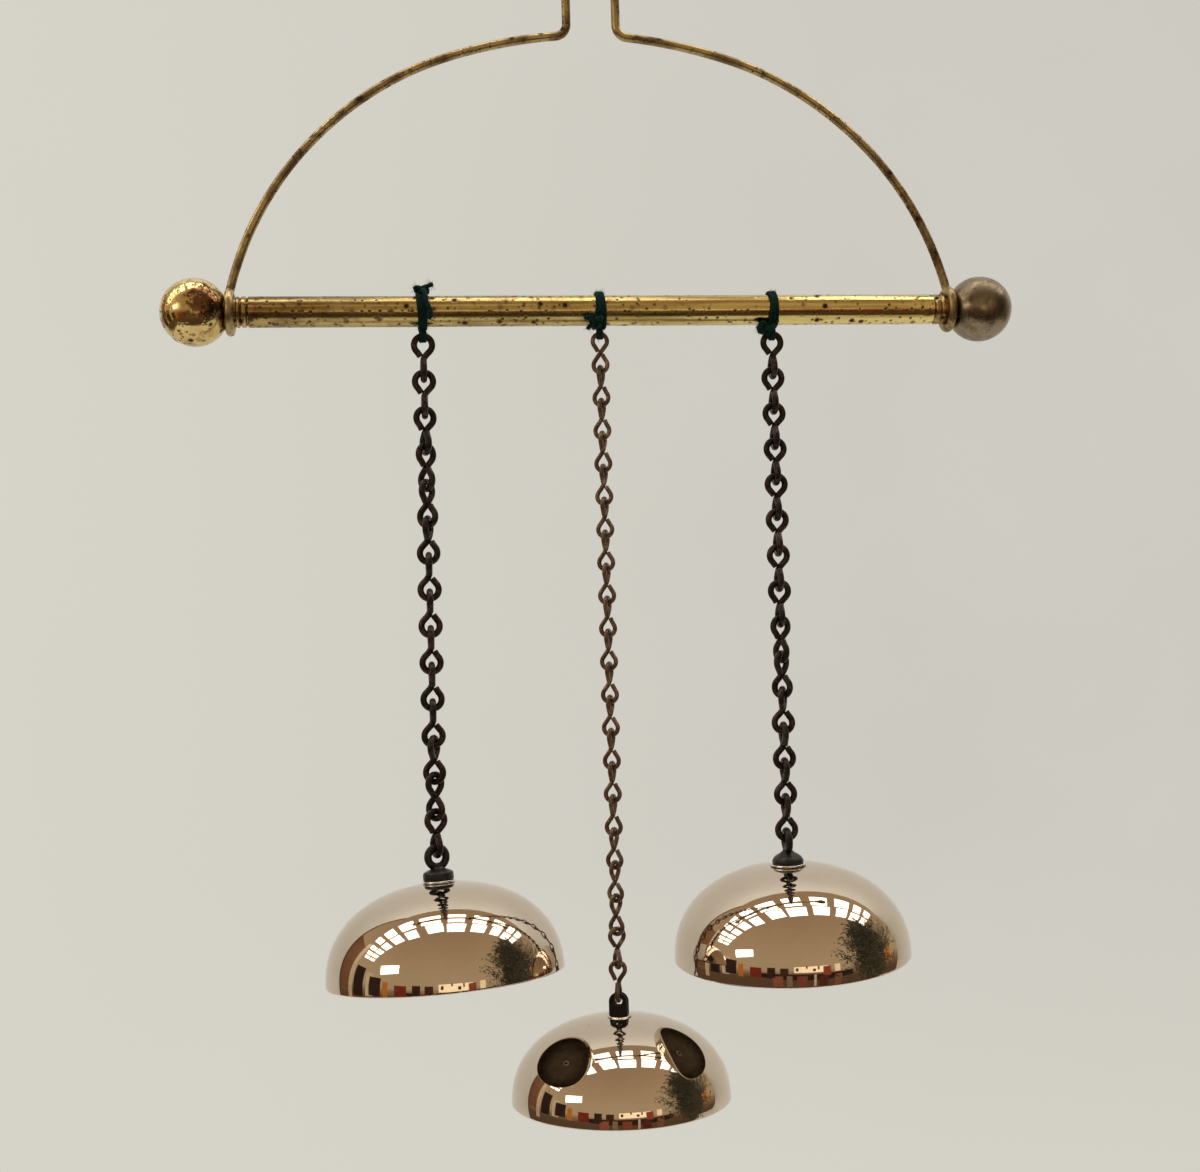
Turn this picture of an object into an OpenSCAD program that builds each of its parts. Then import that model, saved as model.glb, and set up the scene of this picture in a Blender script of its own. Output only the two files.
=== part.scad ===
// Hanging bell chime: a brass rod on a wire bail, with three chains that each carry a bell.
// The origin is the inside top of the bail's hanging loop. +X runs along the rod, +Z is up.

/* [Rod] */
// Length of the rod tube between its ferrules
rod_len = 182; // [176:1:200]
// Outer diameter of the rod tube
rod_d = 8; // [7.8:0.1:8.2]
// Wall thickness of the rod tube
rod_wall = 0.8; // [0.5:0.1:1]
// Diameter of a finial ball
ball_d = 17.5; // [16:0.5:19]
// Diameter of the stud that holds a finial
stud_d = 4; // [3:0.5:4]

/* [Bail] */
// Thickness of the bail wire
bail_wire = 2.3; // [1.8:0.1:2.5]
// Height from the rod's axis to the inside top of the hanging loop
bail_drop = 91.5; // [88:0.5:110]
// Radius of the broad top curve
bail_top_r = 127; // [115:1:135]
// Radius of the shoulder curve on each side
bail_side_r = 87; // [80:1:95]
// Half width of the hanging loop, between wire centres
loop_half_w = 6.6; // [5:0.2:9]

/* [Chains] */
// Distance between the outer chains' ties and the middle of the rod
chain_x = 46.5; // [44:0.5:50]
// Links in each outer chain, one node each
outer_links = 14; // [14]
// Pairs of links in the centre chain, one node each
centre_pairs = 10; // [10]
// Wire thickness of an outer link
outer_wire = 1.7; // [1.5:0.1:1.7]
// Step from one outer link to the next
outer_pitch = 9.5; // [9.2:0.1:10.5]
// Wire thickness of a centre link
centre_wire = 1.2; // [1:0.1:1.2]
// Step from one centre link to the next
centre_pitch = 8.7; // [8.5:0.05:9.5]
// Thickness of the yarn
yarn_d = 1.4; // [1.2:0.1:1.4]

/* [Bells] */
// Mouth diameter of the left bell
left_bell_d = 61.5; // [56:0.5:64]
// Height of the left bell
left_bell_h = 24; // [22:0.5:28]
// Mouth diameter of the right bell
right_bell_d = 63; // [56:0.5:64]
// Height of the right bell
right_bell_h = 24.5; // [22:0.5:28]
// Mouth diameter of the centre bell
centre_bell_d = 57.5; // [50:0.5:62]
// Height of the centre bell
centre_bell_h = 21.5; // [20:0.5:28]
// Wall thickness of every bell
bell_wall = 1.5; // [1.2:0.1:2]
// Squareness of a bell's outline, where 2 is an ellipse
bell_power = 2.2; // [2:0.1:2.6]

/* [Hidden] */

// Gap between the wires of two pieces that hang from each other
play = 0.2;
// A ball a little thicker than the wire closes each joint between two lengths of it,
// and the lengths stop short of each other inside the ball
joint_swell = 1.05;
joint_gap = 0.06;
// Radial running fit
fit = 0.08;
rod_z = -bail_drop;
rod_end = rod_len / 2;

// Ferrule: a collar the size of the rod, a neck that the bail's eye turns on, and a spigot
collar_len = 2.9;
neck_len = 2.55;
neck_r = rod_d / 2 - 0.18;
spigot_len = 6;
neck_x = rod_end + 0.15 + collar_len;
ball_face_x = neck_x + neck_len;
ball_x = ball_face_x + sqrt(pow(ball_d / 2, 2) - pow(neck_r, 2));
stud_len = 14;

// Bail: eye, shoulder arc, top arc, fillet and hanging loop, each tangent to the next
eye_r = neck_r + fit + bail_wire / 2;
eye_x = neck_x + 1.5;
eye_turn = 338;
shoulder_angle = 70.8;
top_z = 73.2;
neck_fillet = 3.2;
side_centre_z = top_z - bail_top_r + (bail_top_r - bail_side_r) * sin(shoulder_angle);
side_centre_x = eye_x - sqrt(pow(bail_side_r, 2) - pow(eye_r - side_centre_z, 2));
side_start = asin((eye_r - side_centre_z) / bail_side_r);
top_centre_x = side_centre_x - (bail_top_r - bail_side_r) * cos(shoulder_angle);
top_centre_z = top_z - bail_top_r;
fillet_x = loop_half_w + neck_fillet;
fillet_angle = acos((fillet_x - top_centre_x) / (bail_top_r + neck_fillet));
fillet_z = top_centre_z + (bail_top_r + neck_fillet) * sin(fillet_angle);
loop_z = bail_drop + bail_wire / 2 - loop_half_w;

// Yarn band round the rod, and the height of the wire that its bight carries
band_r = rod_d / 2 + 0.1 + yarn_d / 2;
band_half_w = 1;
knot_d = 3.2;
outer_hang = band_r + yarn_d / 2 + 0.1 + outer_wire / 2;
centre_hang = band_r + yarn_d / 2 + 0.1 + centre_wire / 2;

// Links: loop radii, free-end trims, and the twist of each chain as [link, degrees]
outer_loop_r = 2.35;
centre_loop_r = 1.9;
outer_trim = 1.1;
centre_trim = 1;
outer_half = (outer_pitch + outer_wire + play) / 2;
centre_half = (centre_pitch + centre_wire + play) / 2;
left_twist = [[1, 0], [2, 0], [7, 90], [11, 90], [14, 20]];
right_twist = [[1, 0], [8, 0], [12, 90], [14, 90]];
centre_twist = [[2, 65], [15, 65], [18, 45], [20, -20]];

// Eye bolts: the eye hangs from the last link
eye_wire = 2;
eye_loop_r = 2.5;
shank_d = 4;
last_outer_wire_z = rod_z - outer_hang - (outer_links - 1) * outer_pitch - 2 * outer_half;
eye_top_z = last_outer_wire_z + (outer_wire + eye_wire) / 2 + play;
eye_z = eye_top_z - eye_loop_r;
collar_top_z = eye_z - eye_loop_r - eye_wire / 4;
collar_h = 3;
washer_h = 0.5;
outer_apex_z = collar_top_z - collar_h - washer_h;
nut_h = 2.4;
nut_flats = 7;
// A nut's corners reach out under the curve of the crown, so it sits this far below the apex
nut_drop = 0.25;
// Each outer bell hangs a little out of true, turned about its last link's bottom wire
left_lean = [-3.6, -2.8, 0];
right_lean = [3.5, -1.8, 0];

// Centre lug: two ears folded from one strap
ear_w = 5;
ear_gap = 0.8;
ear_t = 0.5;
ear_h = 6.2;
ear_hole_r = 1.2;
ear_hole_drop = 2.3;
lug_turn = -25;
centre_links = 2 * centre_pairs;
last_centre_wire_z = rod_z - centre_hang - (centre_links - 1) * centre_pitch - 2 * centre_half;
// The ears bear on the wire where it curves up, so the hole's top is clear of its lowest point
lug_hole_z = last_centre_wire_z + centre_wire / 2 + 0.55 - ear_hole_r;
centre_apex_z = lug_hole_z + ear_hole_drop - ear_h;
lug_stem_d = 2.4;

// Part of a wire ring in the XZ plane, from one angle to another, +X first
module wire_arc(r, wire, from, to, steps = 64)
  rotate([90, 0, 0]) rotate([0, 0, from])
    rotate_extrude(angle = to - from, $fn = steps) translate([r, 0]) circle(d = wire, $fn = 24);

// Wire joint at an angle round a point in the XZ plane
module wire_joint(r, wire, angle)
  rotate([0, -angle, 0]) translate([r, 0, 0]) sphere(d = wire * joint_swell, $fn = 32);

// Angle that the joint gap takes up on an arc
function gap_angle(r) = joint_gap / r * 180 / PI;

// Half of the bail, on the +X side, with the rod's axis at z = 0
module bail_half() {
  translate([eye_x, 0, 0]) rotate([0, 0, 90]) {
    wire_arc(eye_r, bail_wire, 90, 90 + eye_turn);
    wire_joint(eye_r, bail_wire, 90);
  }
  translate([side_centre_x, 0, side_centre_z]) {
    wire_arc(bail_side_r, bail_wire, side_start, shoulder_angle - gap_angle(bail_side_r), 200);
    wire_joint(bail_side_r, bail_wire, shoulder_angle);
  }
  translate([top_centre_x, 0, top_centre_z]) {
    wire_arc(bail_top_r, bail_wire, shoulder_angle, fillet_angle - gap_angle(bail_top_r), 200);
    wire_joint(bail_top_r, bail_wire, fillet_angle);
  }
  translate([fillet_x, 0, fillet_z]) {
    wire_arc(neck_fillet, bail_wire, 180, 180 + fillet_angle);
    wire_joint(neck_fillet, bail_wire, 180);
  }
  straight_len = loop_z - fillet_z - 2 * joint_gap;
  translate([loop_half_w, 0, fillet_z + joint_gap])
    cylinder(d = bail_wire, h = straight_len, $fn = 24);
  translate([0, 0, loop_z]) wire_joint(loop_half_w, bail_wire, 0);
}

module bail()
  color("darkgoldenrod") translate([0, 0, rod_z]) {
    for (side = [0, 1]) mirror([side, 0, 0]) bail_half();
    translate([0, 0, loop_z]) wire_arc(loop_half_w, bail_wire, 0, 180);
  }

module rod_tube()
  color("goldenrod") translate([0, 0, rod_z]) rotate([0, 90, 0])
    difference() {
      cylinder(d = rod_d, h = rod_len, center = true, $fn = 64);
      cylinder(d = rod_d - 2 * rod_wall, h = rod_len + 2, center = true, $fn = 64);
    }

// A ferrule, ball or stud is drawn for the +X end and mirrored for the other
module rod_fitting(side) mirror([side, 0, 0]) translate([0, 0, rod_z]) rotate([0, 90, 0]) children();

module ferrule(side)
  color("darkgoldenrod") rod_fitting(side)
    difference() {
      union() {
        translate([0, 0, rod_end - spigot_len])
          cylinder(r = rod_d / 2 - rod_wall - 0.05, h = spigot_len + 1, $fn = 64);
        translate([0, 0, rod_end + 0.15]) cylinder(d = rod_d, h = collar_len, $fn = 64);
        translate([0, 0, neck_x]) cylinder(r = neck_r, h = neck_len, $fn = 64);
      }
      translate([0, 0, rod_end - spigot_len - 1])
        cylinder(d = stud_d + 0.1, h = spigot_len + collar_len + neck_len + 3, $fn = 48);
    }

module finial_ball(side, shade)
  color(shade) rod_fitting(side)
    difference() {
      translate([0, 0, ball_x]) sphere(d = ball_d, $fn = 96);
      translate([0, 0, ball_face_x - 5]) cylinder(r = ball_d, h = 5, $fn = 48);
      translate([0, 0, ball_face_x - 1]) cylinder(d = stud_d + 0.1, h = stud_len / 2, $fn = 48);
    }

module finial_stud(side)
  color("dimgray") rod_fitting(side)
    translate([0, 0, ball_face_x - stud_len + 5]) cylinder(d = stud_d, h = stud_len, $fn = 48);

// Yarn tied round the rod: a flat band, a bight that carries a link, and a knot
module yarn_tie(x, wire, hang, knot_angle)
  color("darkslategray") translate([x, 0, rod_z]) {
    rotate([0, 90, 0]) rotate_extrude($fn = 64) translate([band_r, 0]) {
      for (edge = [-1, 1]) translate([0, edge * band_half_w]) circle(d = yarn_d, $fn = 24);
      square([yarn_d, 2 * band_half_w], center = true);
    }
    bight_r = wire / 2 + 0.1 + yarn_d / 2;
    rotate([0, 0, 90]) {
      for (leg = [-1, 1]) translate([leg * bight_r, 0, -hang])
        cylinder(d = yarn_d, h = hang - band_r + 0.4, $fn = 24);
      translate([0, 0, -hang]) wire_arc(bight_r, yarn_d, 180, 360);
    }
    rotate([knot_angle, 0, 0]) translate([0, 0, rod_d / 2 + 0.1 + knot_d / 2])
      sphere(d = knot_d, $fn = 32);
  }

// One loop of a link, standing on the link's waist, with its free leg cut short
module link_loop(r, wire, half, trim) {
  centre = half - r;
  spread = asin(r / centre);
  leg = sqrt(centre * centre - r * r);
  translate([0, 0, centre]) {
    wire_arc(r, wire, -spread, 180 + spread, 48);
    for (end = [-spread, 180 + spread]) wire_joint(r, wire, end);
  }
  rotate([0, spread, 0]) cylinder(d = wire, h = leg - joint_gap, $fn = 24);
  rotate([0, -spread, 0]) translate([0, 0, trim])
    cylinder(d = wire, h = leg - trim - joint_gap, $fn = 24);
}

// A link is one wire bent to a figure eight, with each loop turned to its own angle
module link(r, wire, half, trim, upper_turn, lower_turn) {
  rotate([0, 0, upper_turn]) link_loop(r, wire, half, trim);
  mirror([0, 0, 1]) rotate([0, 0, lower_turn]) link_loop(r, wire, half, trim);
  sphere(d = wire * joint_swell, $fn = 32);
}

// An outer link: side is -1 or 1, and count starts at 1 under the yarn
module outer_link(side, count) {
  turn = lookup(count, side < 0 ? left_twist : right_twist);
  color([0.16, 0.12, 0.11])
    translate([side * chain_x, 0, rod_z - outer_hang - (count - 1) * outer_pitch - outer_half])
      link(outer_loop_r, outer_wire, outer_half, outer_trim, turn, turn + 90);
}

// One link of the centre chain. The first is bent flat, to face its loop across the yarn.
module centre_link(count) {
  turn = lookup(count, centre_twist);
  translate([0, 0, rod_z - centre_hang - (count - 1) * centre_pitch - centre_half])
    link(centre_loop_r, centre_wire, centre_half, centre_trim, count == 1 ? 0 : turn, turn + 90);
}

// Two neighbouring links of the centre chain, as two solids
module centre_link_pair(pair)
  color([0.42, 0.32, 0.2]) for (count = [2 * pair - 1, 2 * pair]) centre_link(count);

// Height of a bell's outline at a share t of its quarter turn, from apex to rim
function dome(radius, height, t) =
  [radius * pow(sin(90 * t), 2 / bell_power), height * (pow(cos(90 * t), 2 / bell_power) - 1)];

// A bell with its apex at z = 0 and a hole for its bolt
module bell(d, h, hole) {
  steps = 24;
  outer = [for (i = [0:steps]) dome(d / 2, h, i / steps)];
  inner = [for (i = [steps:-1:0]) dome(d / 2 - bell_wall, h - bell_wall, i / steps)];
  rotate_extrude($fn = 96)
    difference() {
      polygon(concat(outer, [for (p = inner) [p[0], p[1] - bell_wall]]));
      translate([-1, -h]) square([1 + hole / 2, 2 * h]);
    }
}

// Places an outer bell and its fittings at one side, turned by that side's lean
module leaning(side)
  translate([side * chain_x, 0, last_outer_wire_z]) rotate(side < 0 ? left_lean : right_lean)
    translate([0, 0, -last_outer_wire_z]) children();

module outer_bell(side, d, h)
  color([0.8, 0.72, 0.62]) leaning(side) translate([0, 0, outer_apex_z])
    bell(d, h, shank_d + 0.1);

// Eye, flare, collar and shank in one. The eye stands square to the last link's lower loop.
module eye_bolt(side, turn, domed) {
  washer_top_z = outer_apex_z + washer_h;
  shank_len = bell_wall + nut_drop + nut_h + washer_h + 1;
  color([0.1, 0.1, 0.09]) leaning(side) {
    translate([0, 0, eye_z]) rotate([0, 0, turn]) wire_arc(eye_loop_r, eye_wire, 0, 360);
    translate([0, 0, collar_top_z - 1]) cylinder(d1 = domed ? 4.8 : 6.4, d2 = 2.8, h = 1.5, $fn = 48);
    if (domed)
      intersection() {
        translate([0, 0, washer_top_z]) cylinder(d = 8.4, h = 2.6, $fn = 64);
        translate([0, 0, washer_top_z - 1.9]) sphere(r = 4.6, $fn = 64);
      }
    else
      translate([0, 0, washer_top_z]) cylinder(d = 8, h = collar_h - 1, $fn = 64);
    translate([0, 0, washer_top_z - shank_len]) cylinder(d = shank_d, h = shank_len + 1, $fn = 48);
  }
}

// The washer beds down on the curved crown, so its hole clears the shank
module washer(side, d)
  color([0.75, 0.74, 0.7]) leaning(side) translate([0, 0, outer_apex_z])
    difference() {
      cylinder(d = d, h = washer_h, $fn = 64);
      translate([0, 0, -1]) cylinder(d = shank_d + 0.1, h = washer_h + 2, $fn = 48);
    }

// A hexagonal nut under a bell's crown, with its top at z = 0
module nut(flats, h, hole)
  difference() {
    translate([0, 0, -h]) cylinder(d = flats / cos(30), h = h, $fn = 6);
    translate([0, 0, -h - 1]) cylinder(d = hole, h = h + 2, $fn = 48);
  }

module outer_nut(side)
  color([0.25, 0.24, 0.22]) leaning(side) translate([0, 0, outer_apex_z - bell_wall - nut_drop])
    nut(nut_flats, nut_h, shank_d + 0.1);

module centre_bell()
  color([0.8, 0.72, 0.62]) translate([0, 0, centre_apex_z])
    bell(centre_bell_d, centre_bell_h, lug_stem_d + 0.1);

// One ear: a plate with an arched top and a round hole, standing on z = 0
module lug_ear()
  rotate([90, 0, 0]) linear_extrude(height = ear_t, center = true)
    difference() {
      union() {
        translate([0, ear_h - ear_w / 2]) circle(d = ear_w, $fn = 48);
        translate([-ear_w / 2, 0]) square([ear_w, ear_h - ear_w / 2]);
      }
      translate([0, ear_h - ear_hole_drop]) circle(r = ear_hole_r, $fn = 48);
    }

module centre_lug()
  color([0.2, 0.16, 0.13]) translate([0, 0, centre_apex_z]) rotate([0, 0, lug_turn]) {
    for (face = [-1, 1]) translate([0, face * (ear_gap + ear_t) / 2, 0]) lug_ear();
    translate([-ear_w / 2, -ear_gap / 2 - ear_t, 0]) cube([ear_w, ear_gap + 2 * ear_t, 0.8]);
    translate([0, 0, -bell_wall - 2.8]) cylinder(d = lug_stem_d, h = bell_wall + 3.2, $fn = 48);
  }

module centre_nut()
  color([0.25, 0.24, 0.22]) translate([0, 0, centre_apex_z - bell_wall - nut_drop])
    nut(5, 1.8, lug_stem_d + 0.1);

// Name of a numbered node
function tag(stem, count) = str(stem, count < 10 ? "0" : "", count);

bail();
rod_tube();
ferrule(1);  // left_ferrule
ferrule(0);  // right_ferrule
finial_ball(1, "gold");  // left_finial_ball
finial_ball(0, [0.4, 0.36, 0.26]);  // right_finial_ball
finial_stud(1);  // left_finial_stud
finial_stud(0);  // right_finial_stud
yarn_tie(-chain_x, outer_wire, outer_hang, 20);  // left_yarn_tie
yarn_tie(0, centre_wire, centre_hang, 120);  // centre_yarn_tie
yarn_tie(chain_x, outer_wire, outer_hang, 140);  // right_yarn_tie
for (count = [1:outer_links])
  outer_link(-1, count);
for (count = [1:outer_links])
  outer_link(1, count);
for (count = [1:centre_pairs])
  centre_link_pair(count);
outer_bell(-1, left_bell_d, left_bell_h);  // left_bell
eye_bolt(-1, 20, false);  // left_eye_bolt
washer(-1, 8.6);  // left_washer
outer_nut(-1);  // left_nut
outer_bell(1, right_bell_d, right_bell_h);  // right_bell
eye_bolt(1, 90, true);  // right_eye_bolt
washer(1, 9.7);  // right_washer
outer_nut(1);  // right_nut
centre_bell();
centre_lug();
centre_nut();
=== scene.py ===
"""Looks of the hanging bell chime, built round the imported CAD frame."""

import random
from math import acos, asin, atan2, cos, pi, radians, sin, sqrt

import bpy
from mathutils import Matrix, Vector, noise


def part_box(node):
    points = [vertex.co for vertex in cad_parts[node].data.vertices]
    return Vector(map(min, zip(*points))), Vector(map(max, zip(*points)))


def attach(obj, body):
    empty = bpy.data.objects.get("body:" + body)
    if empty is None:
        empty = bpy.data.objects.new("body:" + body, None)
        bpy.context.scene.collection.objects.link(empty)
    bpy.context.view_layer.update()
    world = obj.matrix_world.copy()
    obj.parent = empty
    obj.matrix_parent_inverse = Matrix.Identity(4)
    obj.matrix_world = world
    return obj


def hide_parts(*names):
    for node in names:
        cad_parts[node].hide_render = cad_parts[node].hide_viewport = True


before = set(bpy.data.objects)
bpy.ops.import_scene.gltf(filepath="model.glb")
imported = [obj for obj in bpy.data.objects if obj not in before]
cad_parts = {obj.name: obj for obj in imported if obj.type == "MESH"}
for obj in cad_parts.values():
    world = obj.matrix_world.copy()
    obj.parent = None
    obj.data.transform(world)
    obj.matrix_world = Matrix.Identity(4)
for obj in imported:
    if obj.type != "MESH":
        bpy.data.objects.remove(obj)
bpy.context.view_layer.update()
# noise_vector is seeded by the clock unless it is told otherwise.
noise.seed_set(1)

MM = 0.001
SIDES = {"left": -1, "right": 1}
X, Y, Z = Vector((1, 0, 0)), Vector((0, 1, 0)), Vector((0, 0, 1))

# ------- sizes
# What the frame doesn't say directly is named here, in metres.
ROD_LO, ROD_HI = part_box("rod_tube")
ROD_Z = (ROD_LO.z + ROD_HI.z) / 2
ROD_R = (ROD_HI.z - ROD_LO.z) / 2
CHAIN_X = (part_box("right_link_01")[0].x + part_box("right_link_01")[1].x) / 2
ROD_MIDDLE = Vector((0, 0, ROD_Z))
ROD_WALL = 0.8 * MM
NECK_R = ROD_R - 0.18 * MM
NECK_LENGTH = 2.55 * MM
# Clears the 4 mm studs and the eye bolts' shanks
BORE_R = 2.05 * MM

BELL_WALL = 1.5 * MM
# Radius and height of each dome
BELLS = {
    "left": (30.75 * MM, 24 * MM),
    "right": (31.5 * MM, 24.5 * MM),
    "centre": (28.75 * MM, 21.5 * MM),
}
# Degrees that the outer bells lean about X and about Y
LEANS = {"left": (-3.6, -2.8), "right": (3.5, -1.8)}
APEX_BELOW_LINK = 6.95 * MM
WASHER_H = 0.5 * MM

# A link's trim is how far from its middle its cut ends stop.
OUTER_LINKS, OUTER_WIRE, OUTER_LOOP_R, OUTER_TRIM = 14, 1.7 * MM, 2.35 * MM, 0.95 * MM
CENTRE_PAIRS, CENTRE_WIRE, CENTRE_LOOP_R, CENTRE_TRIM = 10, 1.2 * MM, 1.9 * MM, 0.8 * MM
# Each chain's slow twist, as (link, degrees)
LEFT_TWIST = [(2, 0), (7, 90), (11, 90), (14, 20)]
RIGHT_TWIST = [(8, 0), (12, 90)]
CENTRE_TWIST = [(2, 65), (15, 65), (18, 45), (20, -20)]

# The yarn's thickness in the frame, round the rod and in the loops that hold the chains
YARN_R, WRAP_R, LOOP_YARN_R = 0.7 * MM, 0.48 * MM, 0.4 * MM
BAND_R = ROD_R + 0.1 * MM + WRAP_R

BAIL_WIRE = 2.3 * MM
BAIL_TOP_R = 127 * MM
BAIL_SIDE_R = 87 * MM
# Height of the top curve above the rod's axis
BAIL_TOP_Z = 73.2 * MM
# Where the shoulder curve meets the top curve
BAIL_SHOULDER = radians(70.8)
BAIL_FILLET = 3.2 * MM
LOOP_HALF_W = 6.6 * MM
BAIL_EYE_TURN = radians(338)
EYE_GAP, EYE_ON_NECK = 0.08 * MM, 1.5 * MM
# The left ball's big stain sits a little above the middle of its front.
BALL_STAIN = (ROD_LO.x - 9.5 * MM, -8 * MM, ROD_Z + 2 * MM)


def lookup(value, table):
    """Straight-line value between the table's points, held flat past its ends."""
    if value <= table[0][0]:
        return table[0][1]
    for (a, start), (b, end) in zip(table, table[1:]):
        if value <= b:
            return start + (end - start) * (value - a) / (b - a)
    return table[-1][1]


def last_link_wire(side):
    """Centre of the wire that an outer bell's eye hangs on."""
    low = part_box(f"{side}_link_{OUTER_LINKS}")[0]
    return Vector((SIDES[side] * CHAIN_X, 0, low.z + OUTER_WIRE / 2))


def bell_apex(side):
    """Top of a bell's dome before it leans."""
    if side == "centre":
        return Vector((0, 0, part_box("centre_bell")[1].z))
    return last_link_wire(side) - Z * APEX_BELOW_LINK


def in_scene(name, data):
    """A new object, linked to the scene."""
    made = bpy.data.objects.new(name, data)
    bpy.context.scene.collection.objects.link(made)
    return made


# ------- camera
def make_camera():
    """The photograph's viewpoint: a little left of the middle, near bell height, rolled."""
    place = Vector((-0.0623, -0.4421, -0.1713))
    yaw, pitch, roll = radians(7.79), radians(0.91), radians(-1.64)
    forward = Vector((sin(yaw) * cos(pitch), cos(yaw) * cos(pitch), sin(pitch)))
    right = Vector((cos(yaw), -sin(yaw), 0))
    up = right.cross(forward)
    rolled_right = right * cos(roll) + up * sin(roll)
    rolled_up = up * cos(roll) - right * sin(roll)
    camera = in_scene("camera", bpy.data.cameras.new("camera"))
    camera.data.lens = 50.84
    camera.data.sensor_width = 36
    camera.data.clip_start = 0.01
    turn = Matrix((rolled_right, rolled_up, -forward)).transposed()
    camera.matrix_world = Matrix.Translation(place) @ turn.to_4x4()
    bpy.context.scene.camera = camera


make_camera()


# ------- materials
# Every finished material, by name
MATS = {}


class Shader:
    """A Principled material, kept in MATS, with short calls for the nodes that drive it."""

    def __init__(self, name, **sockets):
        self.mat = bpy.data.materials.new(name)
        self.mat.use_nodes = True
        MATS[name] = self.mat
        self.tree = self.mat.node_tree
        self.tree.nodes.clear()
        inputs = {key.replace("_", " "): value for key, value in sockets.items()}
        self.bsdf = self.node("BsdfPrincipled", inputs)
        self.node("OutputMaterial", {0: self.bsdf.outputs[0]})
        self.place = self.node("TexCoord").outputs["Object"]

    def node(self, kind, inputs=(), **settings):
        made = self.tree.nodes.new("ShaderNode" + kind)
        for key, value in settings.items():
            setattr(made, key, value)
        for key, value in dict(inputs).items():
            self.feed(made.inputs[key], value)
        return made

    def feed(self, socket, value):
        if isinstance(value, bpy.types.NodeSocket):
            self.tree.links.new(value, socket)
        else:
            socket.default_value = (*value, 1) if socket.type == "RGBA" else value

    def stretched(self, scale):
        return self.node("Mapping", {"Vector": self.place, "Scale": scale}).outputs[0]

    def noise(self, scale, detail=4, rough=0.55, where=None):
        inputs = {"Vector": where or self.place, "Scale": scale, "Detail": detail, "Roughness": rough}
        return self.node("TexNoise", inputs).outputs["Fac"]

    def cells(self, scale):
        inputs = {"Vector": self.place, "Scale": scale}
        return self.node("TexVoronoi", inputs).outputs["Distance"]

    def distance(self, point):
        inputs = {0: self.place, 1: point}
        return self.node("VectorMath", inputs, operation="DISTANCE").outputs["Value"]

    def span(self, value, low, high, to_low=0.0, to_high=1.0):
        inputs = {0: value, 1: low, 2: high, 3: to_low, 4: to_high}
        return self.node("MapRange", inputs).outputs[0]

    def maths(self, operation, a, b):
        return self.node("Math", {0: a, 1: b}, operation=operation).outputs[0]

    def times(self, a, b):
        return self.maths("MULTIPLY", a, b)

    def plus(self, a, b):
        return self.maths("ADD", a, b)

    def mix(self, share, a, b):
        made = self.node("Mix", data_type="RGBA")
        self.feed(made.inputs[0], share)
        self.feed(made.inputs[6], a)
        self.feed(made.inputs[7], b)
        return made.outputs[2]

    def bump(self, height, distance, strength):
        inputs = {"Height": height, "Distance": distance, "Strength": strength}
        self.set("Normal", self.node("Bump", inputs).outputs[0])

    def set(self, key, value):
        self.feed(self.bsdf.inputs[key], value)

    def colour(self, value):
        self.set("Base Color", value)

    def rough(self, value):
        self.set("Roughness", value)


def dimmed(colour, share):
    return tuple(c * share for c in colour)


def pits(s, scale, spread, size):
    """Scattered round pits: 1 inside a pit, 0 outside. spread thins them out in patches."""
    dots = s.span(s.cells(scale), size, size * 0.45)
    patches = s.span(s.noise(scale * 0.12, 2), spread, spread + 0.1)
    return s.times(dots, patches)


def blotch(s, centre, radius):
    """A ragged patch round one point: 1 inside it, 0 outside."""
    away = s.distance(centre)
    ragged = s.span(s.noise(420, 5, 0.7), 0.3, 0.7, radius * -0.6, radius * 0.6)
    return s.span(s.plus(away, ragged), radius, radius * 0.7)


def tarnished_brass(name, bright, dull, stain, rough, pit_amount, patch=None):
    """Half-polished brass: dull clouds, stains, dark pits, and one dark patch if asked for."""
    s = Shader(name, Metallic=1.0)
    cloud = s.noise(95, 6, 0.62)
    dulled = s.span(cloud, 0.44, 0.63)
    colour = s.mix(dulled, bright, dull)
    stained = s.times(s.span(s.noise(160, 5, 0.7), 0.54, 0.66), 0.85)
    if patch:
        stained = s.maths("MAXIMUM", stained, blotch(s, *patch))
    colour = s.mix(stained, colour, stain)
    coarse = pits(s, 330, 0.44, 0.32)
    fine = pits(s, 950, 0.42, 0.36)
    marks = s.times(s.maths("MAXIMUM", coarse, fine), pit_amount)
    s.colour(s.mix(marks, colour, (0.035, 0.016, 0.008)))
    s.rough(s.plus(s.span(dulled, 0, 1, rough, rough + 0.16), s.times(marks, 0.4)))
    grain = s.times(s.noise(900, 5, 0.7), 0.14)
    s.bump(s.maths("SUBTRACT", grain, marks), 0.00008, 0.6)


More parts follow.
